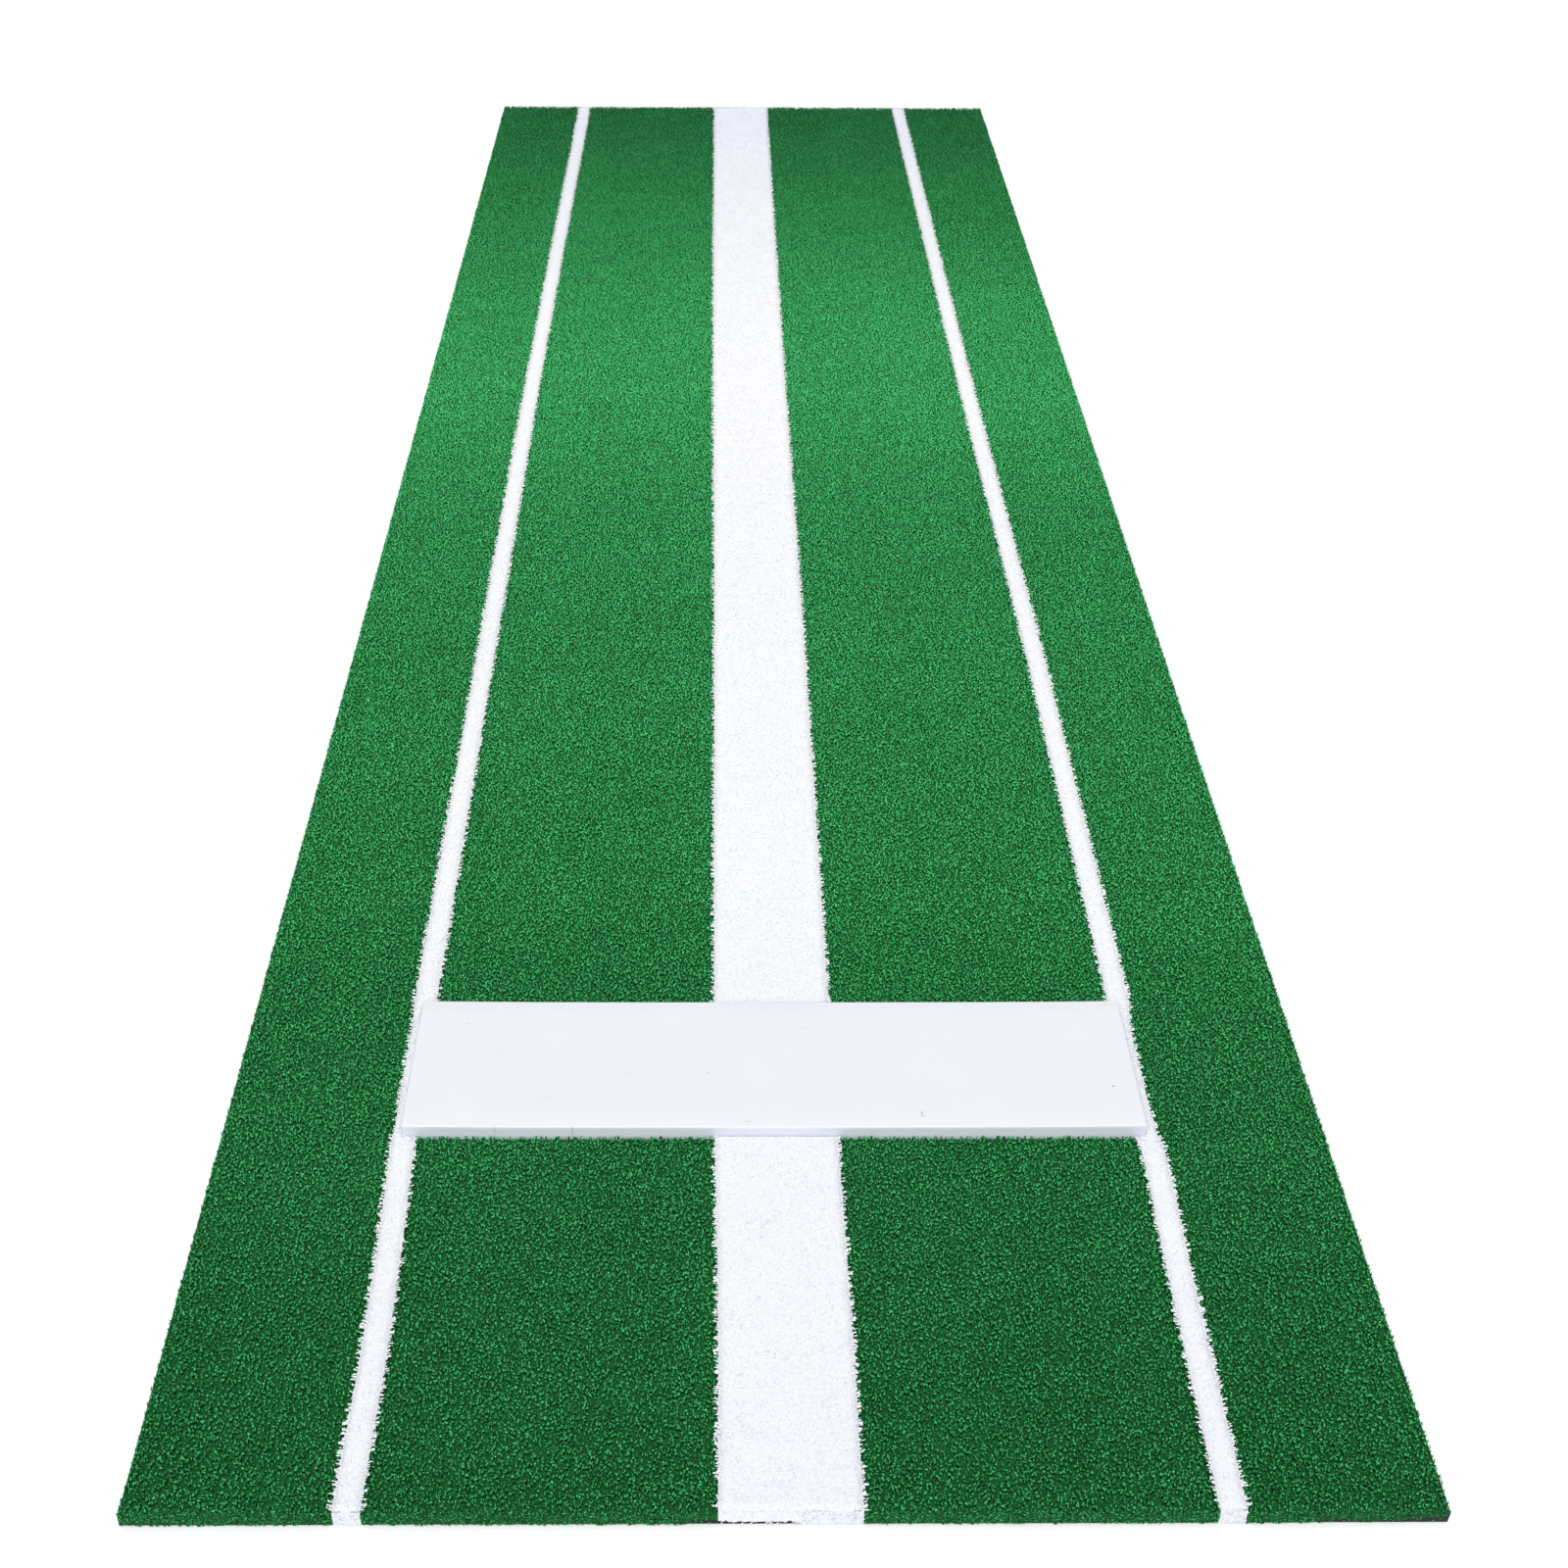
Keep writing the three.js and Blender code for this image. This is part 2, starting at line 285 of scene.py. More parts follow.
def seam_shift(x, y):
    """How far the turf at x wavers: each seam's own smooth shift at y, fading evenly to the next seam
    and to nothing at the mat's sides."""
    shifts = [np.interp(y, SEAM_Y, seam) * MM for seam in (LEFT_SEAM, CENTRE_SEAM, RIGHT_SEAM)]
    left, middle, right = shifts
    if abs(x) < abs(SEAM_X):
        share = abs(x) / abs(SEAM_X)
        return middle + (np.where(x < 0, left, right) - middle) * share
    share = (mat_side - abs(x)) / (mat_side - abs(SEAM_X))
    return np.where(x < 0, left, right) * max(share, 0)


class Strip:
    """A strip of turf in the place of a node. (across, along), from 0 to 1, are its own coordinates. Its
    sides follow the seams, and step outward where the end of the rubber is let in."""

    def __init__(self, node_name, reach):
        self.low, self.high = (np.array(corner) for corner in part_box(node_name))
        self.reach = np.array(reach) * MM

    def side(self, which, y):
        """The x of the left (0) or right (1) edge at y."""
        edge = (self.low[0], self.high[0])[which]
        line = edge + seam_shift(edge, y)
        end = rubber_high[0] + NOTCH_GAP
        outer = max(abs(self.low[0]), abs(self.high[0]))
        if abs(edge) < end < outer and outer < mat_side - MM:
            beside = (y > rubber_low[1] - NOTCH_ROOM) & (y < rubber_high[1] + NOTCH_ROOM)
            return np.where(beside, math.copysign(end, edge), line)
        return line

    def rear(self, x):
        """The y of the rear edge at x, worn back towards the mat's right corner."""
        edge = np.full_like(x, self.low[1])
        if self.low[1] < mat_rear + MM:
            edge += CORNER_RETREAT * smooth_step((x - mat_side + CORNER_WORN) / CORNER_WORN)
        return edge

    def place(self, across, along):
        """The x and y of points given in the strip's own coordinates."""
        y = self.low[1] + (self.high[1] - self.low[1]) * along
        left, right = self.side(0, y), self.side(1, y)
        x = left + (right - left) * across
        rear = self.rear(x)
        return x, rear + (self.high[1] - rear) * along

    def keep_in(self, x, y):
        """Moves what leans out past the strip's edges back to as far as its yarn may reach, and, in a
        strip outside the rubber's end, presses back what would stand in the rubber."""
        left, right, rear, front = self.reach
        x = np.clip(x, self.side(0, y) - left, self.side(1, y) + right)
        y = np.clip(y, self.rear(x) - rear, self.high[1] + front)
        middle = (self.low[0] + self.high[0]) / 2
        if abs(middle) > rubber_high[0]:
            end = rubber_high[0] + PRESSED_GAP
            beside = (y > rubber_low[1] - PRESSED_GAP) & (y < rubber_high[1] + PRESSED_GAP)
            x = np.where(beside & (np.abs(x) < end), math.copysign(end, middle), x)
        return x, y


# the painted light along the mat: the yarn's shade from 0 to 1 at places along it in metres; and the
# lengths in metres, the height and the random directions and starts of the waves of uneven dyeing
PAINTED_LIGHT_PLACES = (-1.52, -1.2, -0.98, -0.85, -0.5, -0.05, 0.25, 0.6, 1.05, 1.52)
PAINTED_LIGHT_SHADES = (0.39, 0.52, 0.56, 0.69, 0.69, 0.73, 0.92, 0.75, 0.4, 0.1)
MOTTLE_SIZES = (0.9, 0.5, 0.28, 0.16, 0.09, 0.05)
MOTTLE = 0.012
mottle_waves = np.random.default_rng(7).uniform(0, 2 * math.pi, (len(MOTTLE_SIZES), 2))


def mottle_and_painted_light(x, y):
    """The yarn's shade at a place, 0 to 1. Painted light along the mat makes it palest past the middle and
    darkest at the far end, and uneven dyeing varies it slowly by a sum of long waves in random
    directions."""
    # painted light: lighter past the middle of the mat and darker towards both ends
    total = np.interp(y, PAINTED_LIGHT_PLACES, PAINTED_LIGHT_SHADES)
    for size, (turn, phase) in zip(MOTTLE_SIZES, mottle_waves):
        along = x * math.cos(turn) + y * math.sin(turn)
        total += MOTTLE * np.sin(along * 2 * math.pi / size + phase)
    return total


BED_CELL = 7 * MM
BED_OVERLAP = 4 * MM
BED_DIP = 0.1
BED_JOG = 0.22


def bed(strip, start, stop, rise, random):
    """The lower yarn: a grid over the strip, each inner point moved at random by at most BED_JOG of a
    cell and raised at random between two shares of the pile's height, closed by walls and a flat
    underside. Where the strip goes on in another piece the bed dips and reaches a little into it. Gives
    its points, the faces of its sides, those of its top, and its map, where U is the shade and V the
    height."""
    size = strip.high - strip.low
    columns = max(3, round(size[0] / BED_CELL)) + 1
    first = start - BED_OVERLAP / size[1] if start > 0 else 0
    last = stop + BED_OVERLAP / size[1] if stop < 1 else 1
    line_up = np.linspace(first, last, max(3, round(size[1] * (last - first) / BED_CELL)) + 1)
    if strip.low[0] < rubber_high[0] and strip.high[0] > rubber_low[0]:
        edges = np.array([rubber_low[1] - NOTCH_ROWS, rubber_high[1] + NOTCH_ROWS[::-1]]).ravel()
        edges = (edges - strip.low[1]) / size[1]
        line_up = np.sort(np.concatenate([line_up, edges[(edges > first) & (edges < last)]]))
    rows = len(line_up)
    gaps = np.diff(line_up)
    across, along = np.meshgrid(np.linspace(0, 1, columns), line_up)
    inside = np.zeros_like(across)
    inside[1:-1, 1:-1] = 1
    jog = random.uniform(-BED_JOG, BED_JOG, (2, rows, columns)) * inside
    jog[1, 1:-1] *= np.minimum(gaps[:-1], gaps[1:])[:, None]
    x, y = strip.place(across + jog[0] / (columns - 1), along + jog[1])
    lift = np.where(inside > 0, random.uniform(*rise, x.shape), sum(rise) / 2)
    if start > 0:
        lift[0] = rise[0] - BED_DIP
    if stop < 1:
        lift[-1] = rise[0] - BED_DIP
    top = np.stack([x, y, PILE_BASE + PILE_HEIGHT * lift], axis=-1).reshape(-1, 3)
    row, column = np.meshgrid(np.arange(rows - 1), np.arange(columns - 1), indexing="ij")
    corner = (row * columns + column).ravel()
    quads = np.stack([corner, corner + 1, corner + columns + 1, corner + columns], axis=1)
    turned = random.random(len(quads)) < 0.5
    quads = np.where(turned[:, None], np.roll(quads, -1, axis=1), quads)
    rim = np.concatenate([
        np.arange(columns),
        np.arange(1, rows) * columns + columns - 1,
        (rows - 1) * columns + np.arange(columns - 1)[::-1],
        (np.arange(1, rows - 1) * columns)[::-1],
    ])
    under = top[rim] * [1, 1, 0] + [0, 0, PILE_BASE]
    below = len(top) + np.arange(len(rim))
    walls = np.stack([below, np.roll(below, -1), np.roll(rim, -1), rim], axis=1)
    points = np.concatenate([top, under])
    top_faces = np.concatenate([quads[:, [0, 1, 2]], quads[:, [0, 2, 3]]]).tolist()
    side_faces = [*walls.tolist(), below[::-1].tolist()]
    shade = mottle_and_painted_light(points[:, 0], points[:, 1]) + random.uniform(-0.05, 0.05, len(points))
    # painted shade: the bed's V, the middle of its rise on top and 0.1 below, darkens it between the curls
    height = np.where(points[:, 2] > PILE_BASE, sum(rise) / 2, 0.1)
    height += random.uniform(-0.03, 0.03, len(points))
    return points, side_faces, top_faces, np.stack([shade, height], axis=1)


def raised(x, y, rise):
    """Points at x and y, at a share of the pile's height."""
    return np.stack([x, y, PILE_BASE + PILE_HEIGHT * rise], axis=1)


def in_rubber(points):
    """True for points over the rubber's place in the mat, a little widened."""
    return ((abs(points[:, 0]) < rubber_high[0] + RUBBER_ROOM)
            & (points[:, 1] > rubber_low[1] - RUBBER_ROOM) & (points[:, 1] < rubber_high[1] + RUBBER_ROOM))


def yarn_mesh(groups, first):
    """Groups of closed ends of yarn, each of four corners and four triangles, as points, faces and a map:
    a root, and three outer corners that turn anticlockwise seen from outside. None may stand in the
    rubber's place. U is the shade. V is the height, which the yarn's colour turns into painted shade deeper
    in the pile, and lift is added to it where the yarn lies lower but out in the light. The outer corners'
    small shifts keep each triangle some width on the map."""
    *corners, shade, lift = (np.concatenate(values) for values in zip(*groups))
    clear = ~np.any([in_rubber(corner) for corner in corners], axis=0)
    points = np.stack(corners, axis=1)[clear]
    number = first + np.arange(len(points))[:, None, None] * 4
    faces = (number + np.array([[1, 2, 3], [0, 2, 1], [0, 3, 2], [0, 1, 3]])).reshape(-1, 3)
    height = np.clip((points[:, :, 2] - PILE_BASE) / PILE_HEIGHT + lift[clear, None], 0.02, 0.985)
    height += np.array([0, 0, 0, 0.01])
    across = shade[clear, None] + np.array([0, -0.008, 0.008, 0])
    return points.reshape(-1, 3), faces.tolist(), np.stack([across, height], axis=-1).reshape(-1, 2)


SHADE_SPREAD = 0.18


def curls(strip, x, y, kind, rise, random):
    """Curled ends of yarn at x and y. Each lies along the top in a random direction, from half_length
    behind its place to half_length ahead, at a height in rise. Its shoulder is to the left, a fifth of
    half_length ahead, at most 0.12 below the top of rise, and its root is to the right, in the bed."""
    count = len(x)
    heading = random.uniform(0, 2 * math.pi, count)
    ahead_x, ahead_y = np.cos(heading), np.sin(heading)
    half_length = random.uniform(*kind["half_length"], count) * MM
    shoulder = random.uniform(*kind["shoulder"], count) * MM
    outer = []
    for forward, left in ((-1, 0), (1, 0), (0.2, 1)):
        corner_x = x + ahead_x * half_length * forward - ahead_y * shoulder * left
        corner_y = y + ahead_y * half_length * forward + ahead_x * shoulder * left
        height = random.uniform(max(rise[0], rise[1] - 0.12) if left else rise[0], rise[1], count)
        outer.append(raised(*strip.keep_in(corner_x, corner_y), height))
    root_x, root_y = strip.keep_in(x + ahead_y * shoulder * 0.6, y - ahead_x * shoulder * 0.6)
    root = raised(root_x, root_y, random.uniform(*kind["root"], count))
    shade = mottle_and_painted_light(x, y) + random.uniform(-SHADE_SPREAD, SHADE_SPREAD, count)
    return root, *outer, shade, np.zeros(count)


TUFT_LEAN = 1 * MM


def tufts(strip, start, stop, kind, random):
    """Curls over a part of a strip, on a jittered square grid, each leaning a little at random."""
    size = strip.high - strip.low
    columns = max(2, round(size[0] / kind["spacing"]))
    rows = max(2, round(size[1] * (stop - start) / kind["spacing"]))
    across, along = np.meshgrid(np.arange(columns) + 0.5, np.arange(rows) + 0.5)
    across = (across + random.uniform(-0.5, 0.5, across.shape)).ravel() / columns
    along = (along + random.uniform(-0.5, 0.5, along.shape)).ravel() / rows
    x, y = strip.place(across, start + along * (stop - start))
    lean_x, lean_y = random.uniform(-TUFT_LEAN, TUFT_LEAN, (2, len(x)))
    return curls(strip, x + lean_x, y + lean_y, kind, kind["rise"], random)


FRINGE_STEP = 0.8 * MM
FRINGE_REACH = 4.2 * MM
FRINGE_START = 0.8 * MM
FRINGE_ROOT = 1.2 * MM
FRINGE_RISE = (0.99, 1.03)


def fringe(strip, start, stop, kind, random):
    """Curls of a white line that have strayed over the green beside it, at random places along its two
    sides. Each is rooted FRINGE_ROOT inside the line, and its middle lies FRINGE_REACH, times a random
    share to the power 2.2, beyond a place FRINGE_START inside, so most lie at the very edge."""
    count = 2 * round((strip.high[1] - strip.low[1]) * (stop - start) / FRINGE_STEP)
    which = random.integers(0, 2, count)
    x, y = strip.place(which.astype(float), start + (stop - start) * random.random(count))
    out = np.where(which == 0, -1, 1)
    away = FRINGE_REACH * random.random(count) ** 2.2 - FRINGE_START
    _, *outer, shade, lift = curls(strip, x + out * away, y, kind, FRINGE_RISE, random)
    root = raised(x - out * FRINGE_ROOT, y, random.uniform(*kind["root"], count))
    return root, *outer, shade, lift


CUT_SPACING = 1.9 * MM
CUT_BULGE = 1.6 * MM
CUT_FOOT = 0.7 * MM
CUT_PAINTED_SHADE = 0.9
# how far in millimetres the yarn over the rear cut is worn short, at places across the mat in metres:
# beside and under the middle line, and towards the right corner
WORN_X = (-0.07, -0.065, -0.041, -0.037, -0.02, 0.004, 0.012, 0.36, 0.369, 0.389, 0.396, 0.42, 0.43, 0.455)
WORN = (0, 3.8, 3.8, 2.4, 3.2, 3, 0, 0, 3, 3.4, 1.6, 2.4, 4.8, 5.8)
# the share of the curls at a worn place that is still long, and the wear in millimetres that flattens them
LEFT_LONG = 0.35
WORN_FLAT = 3
SKIRT_CELL = 1.8 * MM
SKIRT_GAP = 0.1 * MM
SKIRT_THICKNESS = 0.5 * MM
SKIRT_PAINTED_SHADE = 0.4


def worn_at(x, which):
    """How many millimetres the yarn over the cut is worn short at x, at the rear (0) or front (1) end."""
    return np.interp(x, WORN_X, WORN) * (which == 0)


def skirt(strip, which, kind, first, random):
    """Packed yarn over the cut at an end of the mat: a thin sheet that comes down from just inside the bed
    to a ragged foot SKIRT_GAP clear of the cut, with two rows of points on each face, coloured dark as
    painted shade. Gives its points, its faces and its map."""
    columns = round((strip.high[0] - strip.low[0]) / SKIRT_CELL) + 1
    across = np.linspace(0, 1, columns) if which == 0 else np.linspace(1, 0, columns)
    x, edge = strip.place(across, np.full(columns, float(which)))
    out = 1 if which else -1
    worn = worn_at(x, which) * random.uniform(0.6, 1.3, columns)
    foot = CUT_FOOT + (worn + random.uniform(-0.3, 0.3)) * MM
    top = np.full(columns, PILE_BASE + PILE_HEIGHT * sum(kind["bed"]) / 2)
    back_y = np.concatenate([edge + out * SKIRT_GAP, edge - out * SKIRT_THICKNESS])
    front_y = np.tile(edge + out * (SKIRT_GAP + SKIRT_THICKNESS), 2)
    height = np.concatenate([foot, top])
    points = np.concatenate([np.stack([np.tile(x, 2), y, height], axis=1) for y in (back_y, front_y)])
    shade = mottle_and_painted_light(points[:, 0], points[:, 1]) + random.uniform(-0.05, 0.05, len(points))
    # painted shade: a low V, so the yarn's colour darkens the sheet like yarn deep in the pile
    height = SKIRT_PAINTED_SHADE + random.uniform(-0.1, 0.1, len(points))
    return points, (closed_grid_faces(2, columns) + first).tolist(), np.stack([shade, height], axis=1)


def overhang(strip, which, kind, random):
    """Curls over the cut at the rear (0) or front (1) end of the mat, from the top of the pile down to its
    foot. Each lies in the face of the cut at a random slant, and flatter to it where the yarn is worn by
    up to WORN_FLAT millimetres."""
    top = PILE_BASE + PILE_HEIGHT
    count = round((strip.high[0] - strip.low[0]) * (top - CUT_FOOT) / CUT_SPACING ** 2)
    x, edge = strip.place(random.random(count), np.full(count, float(which)))
    out = 1 if which else -1
    worn = worn_at(x, which) * np.where(random.random(count) < LEFT_LONG, 0.2, 1.1)
    foot = CUT_FOOT + worn * MM
    z = foot + (top - foot) * random.random(count)
    slant = random.uniform(0, 2 * math.pi, count)
    aside, up = np.cos(slant), np.sin(slant)
    half_length = random.uniform(*kind["half_length"], count) * MM
    shoulder = random.uniform(*kind["shoulder"], count) * MM
    flatness = 0.85 * np.clip(worn / WORN_FLAT, 0, 1)
    proud = SKIRT_THICKNESS + random.uniform(0.2, 1, count) * CUT_BULGE * (1 - flatness)
    corners = [np.stack([x, edge, z], axis=1)]
    for forward, left in ((-1, 0), (1, 0), (0.2, 1)):
        corner_x = x - out * (aside * half_length * forward - up * shoulder * left)
        corner_z = z + up * half_length * forward + aside * shoulder * left
        corner_y = edge + out * proud * random.uniform(0.7, 1, count)
        corners.append(np.stack([corner_x, corner_y, np.clip(corner_z, foot, top)], axis=1))
    for corner in corners:
        corner[:, 0], _ = strip.keep_in(corner[:, 0], corner[:, 1])
    shade = mottle_and_painted_light(x, edge) + random.uniform(-SHADE_SPREAD, SHADE_SPREAD, count)
    # painted shade: the curls over the cut are coloured as though they stood a tenth lower in the pile
    height = CUT_PAINTED_SHADE * random.uniform(*kind["rise"], count)
    return *corners, shade, height - (z - PILE_BASE) / PILE_HEIGHT


def yarn_material(name, shades, painted_depth_shade, grain_shades, relief):
    """Tufted yarn. U picks a shade of the yarn's colour, with painted light along the mat, and V darkens the
    yarn towards its root as painted shade. A fine grain, the size of single curls of fibre, varies its
    colour and, by relief, its surface. It has little gloss."""
    made, shader, node = material(name)
    flat = node("SeparateXYZ", {"Vector": node("UVMap", uv_map="OFBake").outputs["UV"]})
    # painted light: U carries lighter and darker stretches along the mat, besides the yarn's own colour
    tone = ramp(node, flat.outputs["X"], shades)
    # painted shade: V, the height in the pile, darkens the yarn towards its root
    depth = ramp(node, flat.outputs["Y"], painted_depth_shade)
    place = node("TexCoord").outputs["Object"]
    grain_noise = node("TexNoise", {"Vector": place, "Scale": 850.0, "Detail": 1.0}).outputs["Fac"]
    grain = ramp(node, grain_noise, grain_shades)
    shaded = node("Mix", {"Factor": 1.0, "A": tone, "B": depth}, data_type="RGBA", blend_type="MULTIPLY")
    mixed = node("Mix", {"Factor": 1.0, "A": shaded.outputs[2], "B": grain}, data_type="RGBA",
                 blend_type="MULTIPLY")
    dull = node("MapRange", {"Value": flat.outputs["Y"], "To Min": 0.95, "To Max": 0.7})
    fibres = node("Bump", {"Height": grain_noise, "Strength": relief, "Distance": 0.4 * MM})
    feed(shader, Base_Color=mixed.outputs[2], Roughness=dull.outputs["Result"],
         Normal=fibres.outputs["Normal"], Specular_IOR_Level=0.12)
    return made


def gray(*steps):
    """Stops of a ramp, each a place and one brightness for all three colours."""
    return [(place, (value, value, value)) for place, value in steps]


GREEN = {
    "spacing": 2.55 * MM,
    "bed": (0.38, 0.55),
    "root": (0.3, 0.42),
    "rise": (0.62, 1.03),
    "half_length": (0.9, 1.7),
    "shoulder": (0.65, 1.1),
    "slot": "green_pile",
    "material": yarn_material(
        "green_yarn",
        [(0.0, (0.018, 0.17, 0.05)), (0.5, (0.05, 0.42, 0.125)), (1.0, (0.1, 0.72, 0.235))],
        # painted shade, darker deeper in the pile, and painted light at the very top, where the ramp passes 1
        [(0.3, (0.08, 0.12, 0.08)), (0.6, (0.3, 0.36, 0.3)), (0.85, (0.9, 0.9, 0.9)), (1.0, (1.1, 1.1, 1.1))],
        gray((0.38, 0.48), (0.5, 0.97), (0.62, 1.52)),
        0.35,
    ),
}
WHITE = {
    "spacing": 2.62 * MM,
    "bed": (0.88, 0.94),
    "root": (0.8, 0.86),
    "rise": (0.93, 1.0),
    "half_length": (0.8, 1.6),
    "shoulder": (0.6, 1.1),
    "slot": "white_pile",
    "material": yarn_material(
        "white_yarn",
        [(0.15, (0.73, 0.75, 0.815)), (0.45, (0.765, 0.783, 0.81)), (0.9, (0.825, 0.83, 0.845))],
        # painted shade: the white darkens slightly deeper in the pile
        [(0.3, (0.92, 0.93, 0.94)), (0.7, (0.98, 0.98, 0.985)), (1.0, (1, 1, 1))],
        gray((0.38, 0.93), (0.62, 1.03)),
        0.1,
    ),
}
# name of the strip, its yarn, the number of pieces along it, and how far in millimetres its yarn
# reaches out past its left, right, rear and front edges
STRIPS = [
    ("left_outer", GREEN, 2, (0, 2, 2, 2)),
    ("right_outer", GREEN, 2, (2, 0, 2, 2)),
    ("left_lane_rear", GREEN, 1, (2, 2, 2, 0.3)),
    ("right_lane_rear", GREEN, 1, (2, 2, 2, 0.3)),
    ("left_lane_front", GREEN, 3, (2, 2, 0.3, 2)),
    ("right_lane_front", GREEN, 3, (2, 2, 0.3, 2)),
    ("left_line", WHITE, 1, (5, 5, 2, 2)),
    ("right_line", WHITE, 1, (5, 5, 2, 2)),
    ("centre_line_rear", WHITE, 1, (5, 5, 2, 0.3)),
    ("centre_line_front", WHITE, 1, (5, 5, 0.3, 2)),
]
BACKING_STEP = 24 * MM
BACKING_SAG = 0.1 * MM
turf_backing = woven_material("turf_backing", (0.02, 0.021, 0.023), (0.08, 0.082, 0.086), 1.2 * MM)


for seed, (strip_name, kind, parts, reach) in enumerate(STRIPS):
    strip = Strip(strip_name + "_pile", reach)
    for part in range(parts):
        random = np.random.default_rng(100 * seed + part)
        start, stop = part / parts, (part + 1) / parts
        ends = []
        if part == 0 and strip.low[1] < mat_rear + MM:
            ends.append(0)
        if part == parts - 1 and strip.high[1] > mat_front - MM:
            ends.append(1)
        points, flat_faces, smooth_faces, uv = bed(strip, start, stop, kind["bed"], random)
        for which in ends:
            added = skirt(strip, which, kind, len(points), random)
            points, uv = np.concatenate([points, added[0]]), np.concatenate([uv, added[2]])
            flat_faces += added[1]
        groups = [tufts(strip, start, stop, kind, random)]
        groups += [overhang(strip, which, kind, random) for which in ends]
        added = yarn_mesh(groups, len(points))
        points, uv = np.concatenate([points, added[0]]), np.concatenate([uv, added[2]])
        if kind is WHITE:
            flat_faces += added[1]
            added = yarn_mesh([fringe(strip, start, stop, kind, random)], len(points))
            points, uv = np.concatenate([points, added[0]]), np.concatenate([uv, added[2]])
            flat_faces += added[1]
        else:
            smooth_faces += added[1]
        smooth = np.arange(len(flat_faces) + len(smooth_faces)) >= len(flat_faces)
        piece = mesh_object(f"{strip_name}_yarn_{part + 1}", points, flat_faces + smooth_faces, smooth, uv)
        finish_piece(piece, kind["material"], strip_name + "_pile")
    if strip_name in ("left_line", "right_line"):
        backing = merged_copy(strip_name + "_backing_cloth", nodes[strip_name + "_backing"], 0.2 * MM, 1)
        finish_piece(backing, turf_backing, strip_name + "_backing")
    else:
        laid_sheet(strip_name + "_backing_cloth", strip_name + "_backing", turf_backing,
                   BACKING_STEP, BACKING_SAG, seed)


# ---- pitching rubber -----------------------------------------------------------------------------
# A solid moulded slab of white rubber, let into the turf. Its edges are rounded, its top rises a little
# towards both ends, and it has a few small dark marks.

RUBBER_RADIUS = 1.5 * MM
END_LIFT = 1.6 * MM
ARC_STEPS = 5
BODY_STATIONS = 49
FACE_STEPS = 9


def rounded_slab(low, high, radius):
    """A rounded rectangle, the section across the slab, carried along its length. Towards each end the
    section draws in along a quarter circle, and its top rises, its underside staying flat, with the fourth
    power of the way from the middle to the end."""
    half = (high - low) / 2
    middle = (high + low) / 2
    turn = np.linspace(0, math.pi / 2, ARC_STEPS)
    draw = np.linspace(math.radians(80), 0, ARC_STEPS)
    end_inset = radius * (1 - np.cos(draw))
    end_x = half[0] - radius + radius * np.sin(draw)
    inside = np.linspace(-1, 1, BODY_STATIONS)[1:-1] * (half[0] - radius)
    x = np.concatenate([-end_x, inside, end_x[::-1]])
    inset = np.concatenate([end_inset, np.zeros(len(inside)), end_inset[::-1]])
    corners = []
    for quarter, (sign_y, sign_z) in enumerate(((1, 1), (-1, 1), (-1, -1), (1, -1))):
        angle = turn + quarter * math.pi / 2
        arc = np.stack([np.cos(angle), np.sin(angle)], axis=1)
        centre = np.array([sign_y * (half[1] - radius), sign_z * (half[2] - radius)])
        corners.append((centre, arc))
    section = []
    for number, (centre, arc) in enumerate(corners):
        ring = centre + arc[None] * (radius - inset)[:, None, None]
        after_centre, after_arc = corners[(number + 1) % 4]
        start = ring[:, -1:]
        stop = after_centre + after_arc[None, :1] * (radius - inset)[:, None, None]
        share = np.linspace(0, 1, FACE_STEPS)[1:-1][None, :, None]
        section.append(np.concatenate([ring, start + (stop - start) * share], axis=1))
    section = np.concatenate(section, axis=1)
    stations, around = section.shape[:2]
    lift = END_LIFT * (np.abs(x) / half[0]) ** 4
    points = np.empty((stations, around, 3))
    points[..., 0] = x[:, None] + middle[0]
    points[..., 1] = section[..., 0] + middle[1]
    above = (section[..., 1] + half[2]) / (2 * half[2])
    points[..., 2] = section[..., 1] + middle[2] + lift[:, None] * above
    station, place = np.meshgrid(np.arange(stations - 1), np.arange(around), indexing="ij")
    a = (station * around + place).ravel()
    b = (station * around + (place + 1) % around).ravel()
    walls = np.stack([a, b, b + around, a + around], axis=1).tolist()
    caps = [np.arange(around)[::-1].tolist(), (np.arange(around) + (stations - 1) * around).tolist()]
    return points.reshape(-1, 3), walls + caps


# small marks on the rubber: x and y in metres, length and width in millimetres, turn in degrees, and how
# dark they are from 0 to 1
RUBBER_MARKS = [
    (-0.2645, -1.0499, 5, 1.6, 12, 0.1),
    (-0.0545, -1.1099, 1.6, 0.9, 60, 0.5),
    (-0.123, -1.1097, 4, 1.8, 35, 0.07),
    (-0.0221, -1.1664, 7, 1.0, 4, 0.14),
    (0.2763, -1.0396, 4, 1.0, -20, 0.12),
    (0.2855, -1.1273, 2.6, 1.4, 40, 0.35),
    (0.1224, -1.1566, 3.2, 0.8, 40, 0.5),
    (0.1224, -1.1602, 3.2, 0.8, -40, 0.5),
    (-0.166, -1.173, 2.4, 1.6, 90, 0.14),
    (-0.2295, -1.173, 2.4, 1.6, 90, 0.1),
    (0.19, -1.0797, 2.2, 0.8, 75, 0.18),
    (-0.19, -1.1397, 9, 1.2, -8, 0.06),
    (0.03, -1.0547, 11, 1.2, 15, 0.05),
]
MARK_DEPTH = 20 * MM
MARK_SPREAD = 0.7
MARK_STRENGTH = 3
MARK_COLOUR = (0.16, 0.15, 0.15, 1)
SIDE_PAINTED_SHADE = (0.68, 0.69, 0.79, 1)


